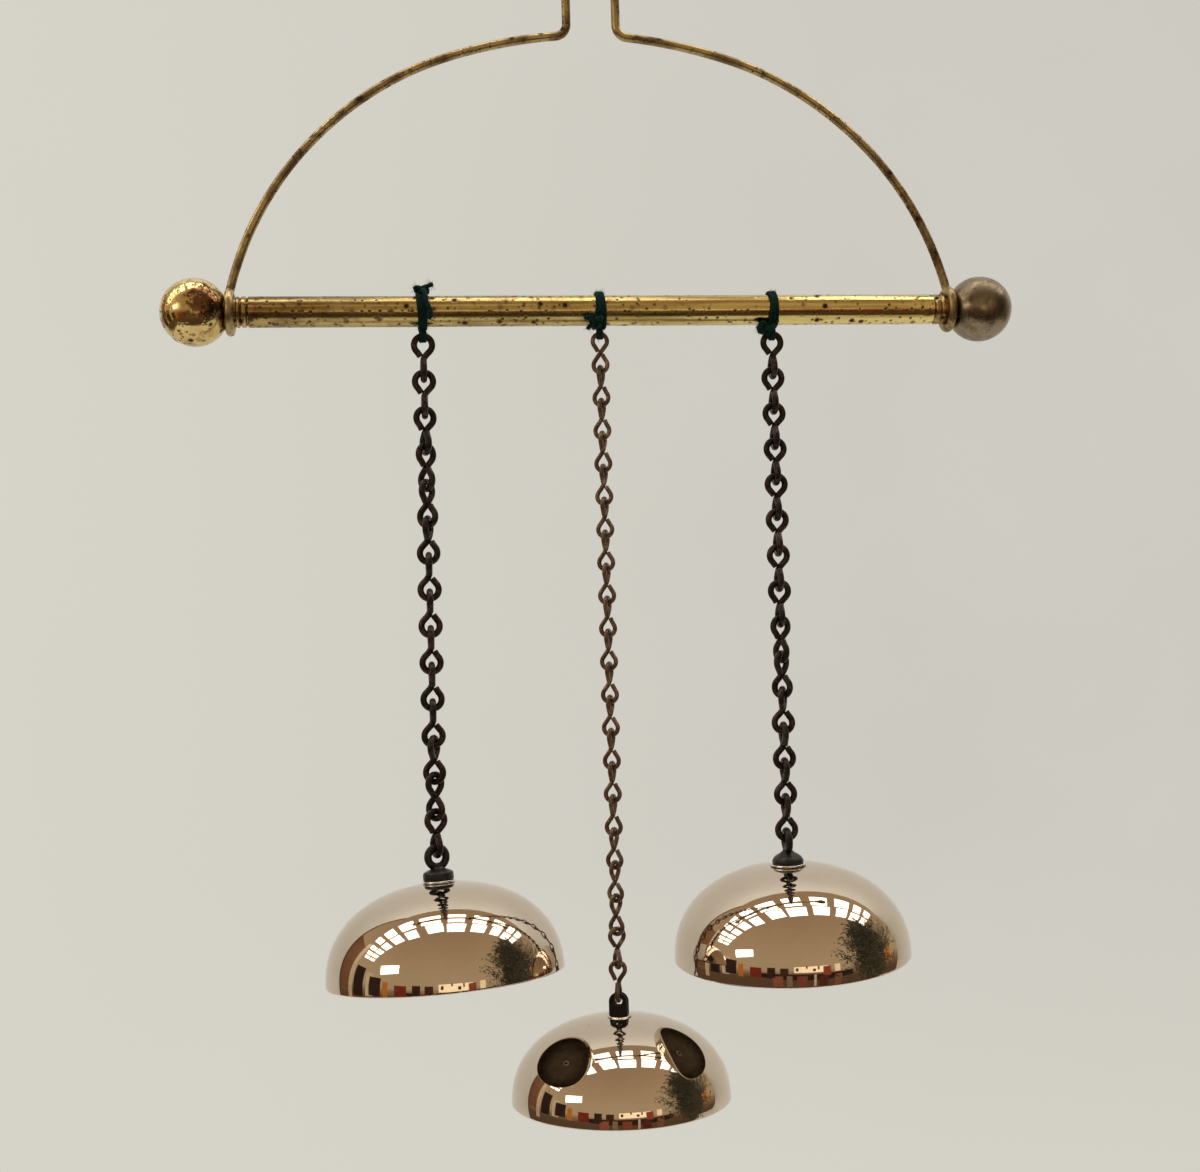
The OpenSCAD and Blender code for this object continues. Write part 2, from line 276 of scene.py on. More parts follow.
def tube_brass():
    """Drawn brass tube: streaked lengthwise, darker towards the left but for one thin painted highlight
    along it, with drifts of dark pits.
    """
    s = Shader("pitted_brass_tube", Metallic=1.0)
    split = s.node("SeparateXYZ", {0: s.place})
    toward_left = s.span(split.outputs["X"], -0.07, 0.07, 1.0, 0.12)
    along = s.stretched((0.09, 1.7, 1.7))
    streaks = s.span(s.noise(300, 6, 0.62, along), 0.42, 0.6)
    colour = s.mix(streaks, (0.75, 0.615, 0.25), (0.47, 0.35, 0.12))
    cloud = s.span(s.noise(120, 6, 0.68, s.stretched((0.5, 1, 1))), 0.42, 0.62)
    darkening_and_painted_highlight = s.times(s.span(cloud, 0, 1, 0.5, 1.0), toward_left)
    # Painted highlight: on a thin line just above the axis the darkening is cleared, so a bright reflected
    # line shows along the tube.
    off_line = s.maths("ABSOLUTE", s.maths("SUBTRACT", split.outputs["Z"], ROD_Z + 0.9 * MM), 0.0)
    clear_of_painted_highlight = s.span(off_line, 0.18 * MM, 0.34 * MM)
    darkening_and_painted_highlight = s.times(darkening_and_painted_highlight, s.span(clear_of_painted_highlight, 0, 1, 0.1, 1.0))
    colour = s.mix(darkening_and_painted_highlight, colour, (0.13, 0.074, 0.03))
    rusty = s.times(s.span(s.noise(520, 5, 0.7), 0.6, 0.68), toward_left)
    colour = s.mix(rusty, colour, (0.16, 0.05, 0.02))
    coarse = pits(s, 290, 0.41, 0.3)
    fine = pits(s, 620, 0.33, 0.36)
    marks = s.maths("MAXIMUM", coarse, s.times(fine, 0.85))
    s.colour(s.mix(marks, colour, (0.05, 0.016, 0.007)))
    s.rough(s.plus(s.span(darkening_and_painted_highlight, 0, 1, 0.14, 0.26), s.times(marks, 0.35)))
    grain = s.times(s.noise(900, 5, 0.7, along), 0.1)
    s.bump(s.maths("SUBTRACT", grain, marks), 0.00006, 0.5)


def bell_metal(side):
    """Mirror-polished warm bell metal: a few specks, a faint haze, and scuffs round the fitting."""
    s = Shader("polished_bell_" + side, Metallic=1.0)
    scuffed = s.span(s.distance(bell_apex(side)), 4 * MM, 10 * MM, 0.13, 0.0)
    haze = s.span(s.noise(60, 6, 0.65), 0.35, 0.75)
    colour = s.mix(haze, (0.645, 0.552, 0.448), (0.585, 0.494, 0.386))
    specks = pits(s, 260, 0.62, 0.12)
    s.colour(s.mix(specks, colour, (0.05, 0.035, 0.025)))
    rough = s.plus(s.span(haze, 0, 1, 0.022, 0.06), s.times(specks, 0.3))
    s.rough(s.plus(rough, scuffed))
    s.bump(s.noise(45, 3), 0.00008, 0.12)


def bell_inside(side):
    """The unpolished casting inside a bell: dark, brown and grainy, with faint turning rings."""
    s = Shader("bell_casting_" + side, Metallic=0.85)
    ring_phase_per_metre = 5200.0
    phase = s.times(s.distance(bell_apex(side)), ring_phase_per_metre)
    rings = s.maths("SINE", phase, 0.0)
    cloud = s.noise(140, 6, 0.7)
    colour = s.mix(s.span(cloud, 0.35, 0.7), (0.05, 0.036, 0.025), (0.15, 0.11, 0.07))
    s.colour(s.mix(s.span(rings, -1, 1, 0.0, 0.3), colour, (0.21, 0.155, 0.1)))
    s.rough(s.span(cloud, 0.3, 0.7, 0.42, 0.7))
    relief = s.plus(s.noise(1100, 6, 0.7), s.times(rings, 0.25))
    s.bump(relief, 0.00012, 0.6)


def dark_wire(name, base, worn, rust, rough):
    """Oxidised wire: worn lighter in places, with rusty blooms and a scaly skin."""
    s = Shader(name, Metallic=0.75)
    cloud = s.noise(420, 6, 0.65)
    colour = s.mix(s.span(cloud, 0.48, 0.7), base, worn)
    bloom = s.span(s.noise(700, 5, 0.7), 0.58, 0.72)
    s.colour(s.mix(s.times(bloom, 0.75), colour, rust))
    s.rough(s.span(cloud, 0.3, 0.7, rough + 0.14, rough - 0.06))
    s.bump(s.noise(2600, 5, 0.7), 0.00005, 0.5)


def black_iron():
    """Forged black fittings with a slightly rubbed skin."""
    s = Shader("black_iron", Metallic=0.6)
    cloud = s.noise(600, 6, 0.65)
    rubbed = s.span(cloud, 0.5, 0.75)
    s.colour(s.mix(rubbed, (0.012, 0.011, 0.01), (0.05, 0.042, 0.035)))
    s.rough(s.span(cloud, 0.3, 0.7, 0.48, 0.34))
    s.bump(s.noise(1800, 6, 0.7), 0.00008, 0.5)


def plated(name, colour, rough):
    """A plain bright metal with a faint cloudiness."""
    s = Shader(name, Metallic=1.0)
    cloud = s.noise(900, 5, 0.6)
    s.colour(s.mix(s.span(cloud, 0.4, 0.7), colour, dimmed(colour, 0.8)))
    s.rough(s.span(cloud, 0.3, 0.7, rough, rough + 0.12))
    s.bump(s.noise(2200, 4), 0.00003, 0.3)


def yarn_fibre():
    """Dark teal wool: matt, uneven, and lighter where single fibres catch the light."""
    sheen = {"Sheen_Weight": 0.1, "Sheen_Roughness": 0.5, "Sheen_Tint": (0.25, 0.6, 0.55)}
    s = Shader("green_yarn", Metallic=0.0, Roughness=0.95, Specular_IOR_Level=0.12, **sheen)
    cloud = s.span(s.noise(1600, 5, 0.7), 0.35, 0.7)
    s.colour(s.mix(cloud, (0.0008, 0.005, 0.0036), (0.004, 0.024, 0.018)))
    s.bump(s.noise(5200, 4, 0.7), 0.00008, 0.6)


# Arguments of tarnished_brass: bright, dull and stained colours, roughness and amount of pits.
tarnished_brass(
    "aged_brass_wire", (0.42, 0.32, 0.15), (0.14, 0.093, 0.045), (0.05, 0.028, 0.014), 0.3, 0.8
)
tube_brass()
tarnished_brass(
    "dull_brass", (0.44, 0.31, 0.13), (0.2, 0.12, 0.05), (0.085, 0.038, 0.02), 0.22, 1.0
)
tarnished_brass(
    "bright_brass", (0.7, 0.54, 0.23), (0.46, 0.31, 0.11), (0.15, 0.075, 0.03), 0.12, 1.0,
    patch=(BALL_STAIN, 5.5 * MM),
)
tarnished_brass(
    "dark_bronze", (0.245, 0.195, 0.125), (0.145, 0.11, 0.07), (0.085, 0.055, 0.034), 0.25, 0.35
)
# Arguments of dark_wire: base, worn and rusty colours, and roughness.
dark_wire("brown_brass_wire", (0.1, 0.06, 0.034), (0.25, 0.178, 0.108), (0.11, 0.045, 0.025), 0.36)
dark_wire("blackened_wire", (0.018, 0.011, 0.009), (0.07, 0.046, 0.034), (0.095, 0.034, 0.02), 0.38)
black_iron()
plated("nickel_plate", (0.78, 0.76, 0.72), 0.12)
plated("plain_steel", (0.32, 0.3, 0.28), 0.32)
for bell_side in BELLS:
    bell_metal(bell_side)
    bell_inside(bell_side)
yarn_fibre()


# ------- mesh tools
def around(steps):
    """Angles of a full turn in equal steps."""
    return [2 * pi * k / steps for k in range(steps)]


def carried_frames(path, closed=False):
    """At each point of a path: its heading, and two directions across it that don't twist."""
    count = len(path)
    frames = []
    for i in range(count):
        before = path[i - 1] if closed or i else path[0]
        after = path[(i + 1) % count] if closed else path[min(i + 1, count - 1)]
        heading = (after - before).normalized()
        side = frames[-1][1] if frames else heading.orthogonal()
        side = (side - heading * side.dot(heading)).normalized()
        frames.append((heading, side, heading.cross(side)))
    return frames


def strip_faces(rings, steps, closed=False):
    """Quads between neighbouring rings of points, and from the last to the first if closed."""
    faces = []
    for i in range(rings if closed else rings - 1):
        j = (i + 1) % rings
        for k in range(steps):
            m = (k + 1) % steps
            faces.append((i * steps + k, i * steps + m, j * steps + m, j * steps + k))
    return faces


def bevel_ends(rings, path, frames, radius_at):
    """Rounds both cut ends of a tube over a short bevel."""
    for index, sign, r in ((0, -1, radius_at(0)), (-1, 1, radius_at(1))):
        middle, push = path[index], frames[index][0] * sign
        bevels = []
        for out, shrink in ((0.14, 0.94), (0.2, 0.78)):
            bevels.append([middle + (p - middle) * shrink + push * r * out for p in rings[index]])
        if sign < 0:
            rings[:0] = bevels[::-1]
        else:
            rings += bevels


class Build:
    """Collects the vertices and faces of one piece, with a material index for each face."""

    def __init__(self):
        self.verts, self.faces, self.index = [], [], []

    def add(self, verts, faces, material=0):
        start = len(self.verts)
        self.verts += [Vector(v) for v in verts]
        self.faces += [tuple(start + i for i in f) for f in faces]
        self.index += [material] * len(faces)

    def tube(self, path, radius, sides, closed=False):
        """Sweeps a circle along a path. radius is a number, or a function of the share along."""
        radius_at = radius if callable(radius) else lambda share: radius
        count = len(path)
        frames = carried_frames(path, closed)
        twist = 0.0
        if closed:
            (heading, u, v), last = frames[0], frames[-1][1]
            last = (last - heading * last.dot(heading)).normalized()
            twist = atan2(last.dot(v), last.dot(u))
        rings = []
        for i, (point, (_, u, v)) in enumerate(zip(path, frames)):
            r = radius_at(i / (count - 1))
            turns = [a - twist * i / count for a in around(sides)]
            rings.append([point + (u * cos(a) + v * sin(a)) * r for a in turns])
        if not closed:
            bevel_ends(rings, path, frames, radius_at)
        faces = strip_faces(len(rings), sides, closed)
        if not closed:
            faces.append(tuple(range(sides - 1, -1, -1)))
            faces.append(tuple((len(rings) - 1) * sides + k for k in range(sides)))
        self.add([p for ring in rings for p in ring], faces)

    def lathe(self, profile, base, axis, steps, material=0):
        """Turns a profile of (radius, height) about an axis through base. Radius 0 makes a pole."""
        verts, rows, faces = [], [], []
        for r, h in profile:
            row = []
            for a in around(steps if r else 1):
                u, v = r * cos(a), r * sin(a)
                row.append(base + Vector((u, v, h) if axis == "z" else (h, u, v)))
            rows.append(range(len(verts), len(verts) + len(row)))
            verts += row
        for low, high in zip(rows, rows[1:]):
            for k in range(steps):
                m = (k + 1) % steps
                quad = (low[k % len(low)], high[k % len(high)], high[m % len(high)], low[m % len(low)])
                faces.append(tuple(dict.fromkeys(quad)))
        self.add(verts, faces, material)

    def lean(self, side):
        """Turns an outer bell or one of its fittings about its last link's bottom wire."""
        about_x, about_y = (radians(a) for a in LEANS[side])
        pivot = Matrix.Translation(last_link_wire(side))
        turn = Matrix.Rotation(about_y, 4, "Y") @ Matrix.Rotation(about_x, 4, "X")
        placed = pivot @ turn @ pivot.inverted()
        self.verts = [placed @ v for v in self.verts]

    def dent(self, size, amount):
        """Pushes the surface in and out by a smooth noise, so reflections waver."""
        for v in self.verts:
            v += noise.noise_vector(v / size) * amount

    def piece(self, name, body, slot, node, mats=None, smooth_angle=40):
        """Makes the object, which rides on a body and stands for one CAD node."""
        mesh = bpy.data.meshes.new(name)
        mesh.from_pydata([tuple(v) for v in self.verts], [], self.faces)
        mesh.validate()
        for mat in mats or [slot]:
            mesh.materials.append(MATS[mat])
        mesh.polygons.foreach_set("material_index", self.index)
        mesh.polygons.foreach_set("use_smooth", [True] * len(mesh.polygons))
        mesh.set_sharp_from_angle(angle=radians(smooth_angle))
        mesh.update()
        made = in_scene(name, mesh)
        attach(made, body)
        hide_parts(node)


def arc(centre, radius, start, end, u, v, steps):
    """Points on an arc in the plane of u and v, angles from u towards v."""
    points = []
    for i in range(steps + 1):
        angle = start + (end - start) * i / steps
        points.append(centre + (u * cos(angle) + v * sin(angle)) * radius)
    return points


def corner(before, middle, after, steps):
    """A smooth bend from before to after that heads for middle."""
    points = []
    for i in range(steps + 1):
        t = i / steps
        points.append(before * (1 - t) ** 2 + middle * 2 * t * (1 - t) + after * t**2)
    return points


# ------- rod, finials and bail
def make_rod():
    """A drawn tube whose surface wavers very slightly."""
    inner = ROD_R - ROD_WALL
    lo, hi, edge = ROD_LO.x, ROD_HI.x, 0.25 * MM
    steps = 180
    outer = [(ROD_R, lo + edge + (hi - lo - 2 * edge) * i / steps) for i in range(steps + 1)]
    profile = [(inner, lo), (ROD_R - edge, lo), *outer, (ROD_R - edge, hi), (inner, hi), (inner, lo)]
    rod = Build()
    rod.lathe(profile, ROD_MIDDLE, "x", 96)
    rod.dent(14 * MM, 0.03 * MM)
    rod.piece("brass_rod", "rod", "pitted_brass_tube", "rod_tube")


def make_ferrule(side):
    """A grooved collar at one end of the rod, with a spigot inside it and a neck for the bail's eye."""
    spigot_start, neck_end = sorted(abs(end.x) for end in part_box(side + "_ferrule"))
    collar_start = ROD_HI.x + 0.15 * MM
    collar_end, groove = collar_start + 2.9 * MM, collar_start + 1.7 * MM
    spigot_r, chamfer, groove_half, groove_depth = ROD_R - 0.85 * MM, 0.45 * MM, 0.4 * MM, 0.45 * MM
    profile = [
        (BORE_R, spigot_start), (spigot_r, spigot_start), (spigot_r, collar_start),
        (ROD_R - chamfer, collar_start), (ROD_R, collar_start + chamfer), (ROD_R, groove - groove_half),
        (ROD_R - groove_depth, groove), (ROD_R, groove + groove_half),
        (ROD_R, collar_end - 0.3 * MM), (NECK_R, collar_end), (NECK_R, neck_end), (BORE_R, neck_end),
        (BORE_R, spigot_start),
    ]
    sign = SIDES[side]
    ferrule = Build()
    ferrule.lathe([(r, h * sign) for r, h in profile][::sign], ROD_MIDDLE, "x", 72)
    ferrule.dent(2.5 * MM, 0.05 * MM)
    ferrule.piece(side + "_collar", "rod", "dull_brass", side + "_ferrule", smooth_angle=30)


def make_ball(side):
    """A ball finial with a flat face against the ferrule's neck."""
    low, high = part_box(side + "_finial_ball")
    face = max(abs(end.x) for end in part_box(side + "_ferrule"))
    radius = (high.z - low.z) / 2
    middle = max(abs(low.x), abs(high.x)) - radius
    steps = 72
    start_angle = acos((middle - face) / radius)
    turns = [start_angle + (pi - start_angle) * i / steps for i in range(steps)]
    profile = [(BORE_R, face)] + [(radius * sin(a), middle - radius * cos(a)) for a in turns]
    profile.append((0, middle + radius))
    sign = SIDES[side]
    ball = Build()
    ball.lathe([(r, h * sign) for r, h in profile][::sign], ROD_MIDDLE, "x", 128)
    ball.dent(9 * MM, 0.05 * MM if side == "left" else 0.03 * MM)
    slot = "bright_brass" if side == "left" else "dark_bronze"
    ball.piece(side + "_ball", "rod", slot, side + "_finial_ball")


def bail_half_path(sign):
    """The bail's centre line on one side, from the rod's end up to the loop's top."""
    eye_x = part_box("right_ferrule")[1].x - NECK_LENGTH + EYE_ON_NECK
    eye_r = NECK_R + EYE_GAP + BAIL_WIRE / 2
    gap = BAIL_TOP_R - BAIL_SIDE_R
    side_z = BAIL_TOP_Z - BAIL_TOP_R + gap * sin(BAIL_SHOULDER)
    side_x = eye_x - sqrt(BAIL_SIDE_R**2 - (eye_r - side_z) ** 2)
    side_start = asin((eye_r - side_z) / BAIL_SIDE_R)
    top_x, top_z = side_x - gap * cos(BAIL_SHOULDER), BAIL_TOP_Z - BAIL_TOP_R
    fillet_x, reach = LOOP_HALF_W + BAIL_FILLET, BAIL_TOP_R + BAIL_FILLET
    fillet_angle = acos((fillet_x - top_x) / reach)
    fillet_z = top_z + reach * sin(fillet_angle)
    loop_z = -ROD_Z + BAIL_WIRE / 2 - LOOP_HALF_W

    def place(x, z):
        return Vector((x, 0, z + ROD_Z))

    eye = arc(place(eye_x, 0), eye_r, BAIL_EYE_TURN + pi / 2, pi / 2, Y, Z, 60)
    sides = arc(place(side_x, side_z), BAIL_SIDE_R, side_start, BAIL_SHOULDER, X, Z, 60)
    tops = arc(place(top_x, top_z), BAIL_TOP_R, BAIL_SHOULDER, fillet_angle, X, Z, 40)
    fillet_turn = pi + fillet_angle
    fillet = arc(place(fillet_x, fillet_z), BAIL_FILLET, fillet_turn, pi, X, Z, 10)
    neck = arc(place(0, loop_z), LOOP_HALF_W, 0, pi / 2, X, Z, 16)
    bend = corner(eye[-3], eye[-1], sides[1], 6)
    points = eye[:-3] + bend + sides[2:] + tops[1:] + fillet[1:] + neck
    return [Vector((p.x * sign, p.y, p.z)) for p in points]


def make_bail():
    """One wire, closed round the rod at both ends, with the small waves of hand bending."""
    path = bail_half_path(-1) + bail_half_path(1)[-2::-1]
    wave_size, wave_height = 26 * MM, 0.35 * MM
    still_below, full_above = ROD_Z + 9 * MM, ROD_Z + 21 * MM
    for p in path:
        share = lookup(p.z, [(still_below, 0), (full_above, 1)])
        wave = noise.noise_vector(p / wave_size) * wave_height * share
        p += Vector((wave.x * 0.3, wave.y, wave.z * 0.3))
    bail = Build()
    bail.tube(path, lambda t: BAIL_WIRE / 2 * (1 + 0.015 * sin(t * 70)), 20)
    bail.piece("bail_wire", "bail", "aged_brass_wire", "bail")


# ------- chains
def link_path(centre, r, half, trim, upper_turn, lower_turn, spring):
    """Centre line of a figure-eight link. spring opens its two cut ends a little."""
    lift = half - r
    spread = asin(r / lift)

    def loop(turn, flip):
        u = Vector((cos(turn), sin(turn), 0))
        up = Z * flip
        ring = arc(centre + up * lift, r, pi + spread, -spread, u, up, 22)
        cut = centre + (up * cos(spread) - u * sin(spread)) * trim
        away = (-u * cos(spread) - up * sin(spread)) * spring
        return [cut + away, (cut + ring[0]) / 2 + away * 0.4] + ring

    upper = loop(upper_turn, 1)
    lower = loop(lower_turn, -1)
    waist = corner(centre + (upper[-1] - centre) * 0.55, centre, centre + (lower[-1] - centre) * 0.55, 6)
    return upper + waist + lower[::-1]


def make_outer_chain(side):
    """Fourteen links, each a piece and a body of its own."""
    seed, twist = (11, LEFT_TWIST) if side == "left" else (12, RIGHT_TWIST)
    rng = random.Random(seed)
    for count in range(1, OUTER_LINKS + 1):
        node = f"{side}_link_{count:02d}"
        low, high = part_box(node)
        centre = Vector((SIDES[side] * CHAIN_X, 0, (low.z + high.z) / 2))
        half = (high.z - low.z - OUTER_WIRE) / 2
        turn = radians(lookup(count, twist))
        spring = (0.12 + 0.3 * rng.random()) * MM
        path = link_path(centre, OUTER_LOOP_R, half, OUTER_TRIM, turn, turn + pi / 2, spring)
        link = Build()
        link.tube(path, OUTER_WIRE / 2, 16)
        link.piece(f"{side}_chain_{count:02d}", node, "blackened_wire", node)


def make_centre_chain():
    """Twenty thinner links, in pairs that share a body."""
    rng = random.Random(13)
    low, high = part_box("centre_links_01")
    pitch = (high.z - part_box("centre_links_02")[1].z) / 2
    height = high.z - low.z - pitch
    half = (height - CENTRE_WIRE) / 2
    for pair in range(1, CENTRE_PAIRS + 1):
        node = f"centre_links_{pair:02d}"
        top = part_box(node)[1].z
        links = Build()
        for step in (0, 1):
            count = 2 * pair - 1 + step
            centre = Vector((0, 0, top - height / 2 - pitch * step))
            turn = radians(lookup(count, CENTRE_TWIST))
            # The first link's upper loop faces the front, where the yarn goes through it.
            upper = 0 if count == 1 else turn
            spring = (0.1 + 0.35 * rng.random()) * MM
            path = link_path(centre, CENTRE_LOOP_R, half, CENTRE_TRIM, upper, turn + pi / 2, spring)
            links.tube(path, CENTRE_WIRE / 2, 14)
        links.piece(f"centre_chain_{pair:02d}", node, "brown_brass_wire", node)


# ------- bells and their fittings
def dome_outline(radius, height, drop=0.0):
    """Half of a squarish ellipse, from its crown, drop below the apex, down to its mouth."""
    squareness, steps = 2.2, 90
    points = []
    for i in range(1, steps):
        angle = pi / 2 * (i / steps)
        out = radius * sin(angle) ** (2 / squareness)
        points.append((out, height * (cos(angle) ** (2 / squareness) - 1) - drop))
    return points


def make_bell(side):
    """A turned dome: mirror-polished outside, with a soft rim, and a raw casting inside."""
    radius, height = BELLS[side]
    inside = radius - BELL_WALL
    lip, edge_drop = 0.35 * MM, -0.3 * MM
    hole = BORE_R if side in LEANS else 1.25 * MM
    start = hole + 0.2 * MM
    crown = [(hole, edge_drop), (start, -0.02 * MM)]
    outer_start = start
    if side == "centre":
        # A low polished boss under the lug
        boss_r, boss_h = 3.1 * MM, 0.2 * MM
        crown = [(hole, edge_drop), (hole, boss_h), (boss_r, boss_h)]
        crown += [(boss_r + 0.15 * MM, 0.05 * MM), (boss_r + 0.3 * MM, -0.15 * MM)]
        outer_start = boss_r + 0.5 * MM
    bottom = lip - height
    outer = [p for p in dome_outline(radius, height) if p[0] > outer_start and p[1] > bottom]
    inner = dome_outline(inside, height - BELL_WALL, BELL_WALL)
    inner = [p for p in inner if p[0] > start and p[1] > bottom][::-1]
    quarter = around(40)[:11]
    rim = [(radius - lip * (1 - cos(a)), bottom - lip * sin(a)) for a in quarter]
    rim_in = [(inside + lip * (1 - sin(a)), bottom - lip * cos(a)) for a in quarter]
    bell = Build()
    bell.lathe(crown + outer + rim + [rim_in[0]], bell_apex(side), "z", 192)
    bell.lathe(rim_in + inner + [(hole, -BELL_WALL), (hole, edge_drop)], bell_apex(side), "z", 192, 1)
    if side in LEANS:
        bell.lean(side)
    mats = ["polished_bell_" + side, "bell_casting_" + side]
    bell.piece(side + "_dome", side + "_bell", "polished_bell_metal", side + "_bell", mats, 50)


def rounded(corners, r):
    """A profile whose inner corners are rounded by about r."""
    points = [Vector(c) for c in corners]
    out = [tuple(points[0])]
    for a, b, c in zip(points, points[1:], points[2:]):
        reach = min(r, (a - b).length / 2, (c - b).length / 2)
        start, end = b + (a - b).normalized() * reach, b + (c - b).normalized() * reach
        out += [tuple(p) for p in corner(start, b, end, 4)]
    return out + [tuple(points[-1])]


def make_eye_bolt(side):
    """A forged eye on a collar: flat on the left, domed with a flared neck on the right."""
    wire, ring_r = 2.0 * MM, 2.5 * MM
    apex = bell_apex(side)
    eye = last_link_wire(side) + Z * ((OUTER_WIRE + wire) / 2 + 0.2 * MM - ring_r)
    turn = radians(20 if side == "left" else 90)
    u = Vector((cos(turn), sin(turn), 0))
    bolt = Build()
    bolt.tube(arc(eye, ring_r, 0, 2 * pi, u, Z, 64)[:-1], wire / 2, 18, closed=True)
    if side == "left":
        collar = [(0, 3.9), (1.5, 3.7), (1.9, 3.0), (3.3, 2.45), (3.95, 2.0), (4, 0), (1.9, 0)]
    else:
        collar = [(0, 4.4), (1.05, 4.1), (1.25, 3.3), (2.3, 2.5), (3.6, 1.7), (4.2, 0.7)]
        collar += [(4.15, 0), (1.9, 0)]
    corners = [(r * MM, WASHER_H + h * MM) for r, h in collar]
    shank_end = -BELL_WALL - 3.65 * MM
    corners += [(1.98 * MM, shank_end + 0.2 * MM), (1.7 * MM, shank_end), (0, shank_end)]
    bolt.lathe(rounded(corners, 0.5 * MM)[::-1], apex, "z", 64)
    bolt.lean(side)
    bolt.piece(side + "_eye", side + "_bell", "black_iron", side + "_eye_bolt", smooth_angle=55)


def make_washer(side):
    """The bright washer between an eye bolt's collar and its bell."""
    outer = (4.3 if side == "left" else 4.85) * MM
    corners = [(BORE_R, WASHER_H), (outer, WASHER_H), (outer, 0), (BORE_R, 0), (BORE_R, WASHER_H)]
    washer = Build()
    washer.lathe(rounded(corners, 0.2 * MM)[::-1], bell_apex(side), "z", 72)
    washer.lean(side)
    washer.piece(side + "_washer_ring", side + "_bell", "nickel_plate", side + "_washer")


def ear_outline(wide, tall):
    """A strip with a round top, from its lower left corner over to its lower right."""
    half, steps = wide / 2, 24
    points = [Vector((-half, 0))]
    for i in range(steps + 1):
        a = pi - pi * i / steps
        points.append(Vector((cos(a) * half, tall - half + sin(a) * half)))
    return points + [Vector((half, 0))]


def make_lug():
    """A strap folded into two ears, drilled through both, on a short stem."""
    low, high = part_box("centre_lug")
    apex = bell_apex("centre")
    wide, tall, thick, gap = 5 * MM, high.z - apex.z, 0.5 * MM, 0.8 * MM
    hole_r, hole_drop, inset = 1.2 * MM, 2.3 * MM, 0.12 * MM
    turn = Matrix.Rotation(radians(-25), 4, "Z")
    centre = Vector((0, tall - hole_drop))
    outline = ear_outline(wide, tall)
    outward = [(p - centre).normalized() for p in outline]
    # Rings of points round a bevelled plate, each with its depth
    hole = [centre + d * hole_r for d in outward]
    wide_hole = [p + d * inset for p, d in zip(hole, outward)]
    narrow = [p - d * inset for p, d in zip(outline, outward)]
    face, edge = thick / 2, thick / 2 - inset
    rings = (
        (hole, -edge), (wide_hole, -face), (narrow, -face), (outline, -edge), (outline, edge),
        (narrow, face), (wide_hole, face), (hole, edge), (hole, -edge),
    )

    def placed(x, y, z):
        return turn @ Vector((x, y, z)) + apex

    lug = Build()
    for middle in (-(gap + thick) / 2, (gap + thick) / 2):
        verts = [placed(p.x, middle + depth, p.y) for ring, depth in rings for p in ring]
        lug.add(verts, strip_faces(len(rings), len(outline)))
    half, deep, base_top = wide / 2 - 0.02 * MM, (gap + thick) / 2, 0.8 * MM
    corners = [(-half, 0), (-half, base_top), (half, base_top), (half, 0)]
    verts = [placed(x, y, z) for y in (-deep, deep) for x, z in corners]
    lug.add(verts, [(0, 1, 2, 3), (7, 6, 5, 4), (0, 4, 5, 1), (1, 5, 6, 2), (2, 6, 7, 3), (3, 7, 4, 0)])
    stem, stem_r, stem_top, bevel = low.z - apex.z, 1.2 * MM, 0.4 * MM, 0.2 * MM
    profile = [(0, stem), (stem_r - bevel, stem), (stem_r, stem + bevel), (stem_r, stem_top), (0, stem_top)]
    lug.lathe(profile, apex, "z", 32)
    lug.piece("centre_lug_strap", "centre_bell", "black_iron", "centre_lug", smooth_angle=30)


# ------- yarn
def plied(build, path, radius, pitch, rng):
    """Yarn along a path: three plies that twist round each other, each uneven in thickness."""
    plies = 3
    lengths = [0.0]
    for a, b in zip(path, path[1:]):
        lengths.append(lengths[-1] + (b - a).length)
    frames = carried_frames(path)
    start = rng.random() * 6
    for ply in range(plies):
        strand = []
        for i, point in enumerate(path):
            angle = start + 2 * pi * (ply / plies + lengths[i] / pitch)
            _, u, v = frames[i]
            strand.append(point + (u * cos(angle) + v * sin(angle)) * radius * 0.46)
        thick = radius * (0.56 + 0.06 * rng.random())
        wobble = rng.random() * 6
        build.tube(strand, lambda t, w=wobble, r=thick: r * (1 + 0.1 * sin(t * 40 + w)), 8)
    return list(zip(path, frames))


def scatter(rng, size):
    """A random step of about size in any direction."""
    return Vector([rng.gauss(0, size) for _ in range(3)])


def fuzz(build, stations, radius, count, length, rng):
    """Loose fibres that stand off the yarn in all directions."""
    for _ in range(count):
        point, (_, u, v) = rng.choice(stations)
        angle = rng.random() * 2 * pi
        out = u * cos(angle) + v * sin(angle)
        lean = scatter(rng, 0.9)
        start = point + out * radius * 0.85
        reach = length * (0.35 + 0.65 * rng.random())
        heading = (out + lean * 0.6).normalized()
        middle = start + heading * reach * 0.5
        end = middle + (heading + lean * 0.5).normalized() * reach * 0.5
        build.tube([start, middle, end], lambda t: (0.034 - 0.02 * t) * MM, 3)


def smooth_path(points):
    """A Catmull-Rom curve through given points."""
    per_span = 10
    ends = [points[0] * 2 - points[1]] + list(points) + [points[-1] * 2 - points[-2]]
    out = []
    for a, b, c, d in zip(ends, ends[1:], ends[2:], ends[3:]):
        for i in range(per_span):
            t = i / per_span
            bend = (2 * a - 5 * b + 4 * c - d) * t**2 + (3 * b - a - 3 * c + d) * t**3
            out.append(0.5 * (2 * b + (c - a) * t + bend))
    return out + [points[-1]]


def knot_path(centre, size, out):
    """A trefoil pulled tight, facing along out."""
    turn = Z.rotation_difference(out).to_matrix()
    lobe, depth = 1.6, 1.1
    points = []
    for t in around(61):
        across = sin(t) + lobe * sin(2 * t)
        along = cos(t) - lobe * cos(2 * t)
        p = Vector((across, along, -depth * sin(3 * t)))
        points.append(centre + turn @ (p * size / (1 + lobe)))
    return points


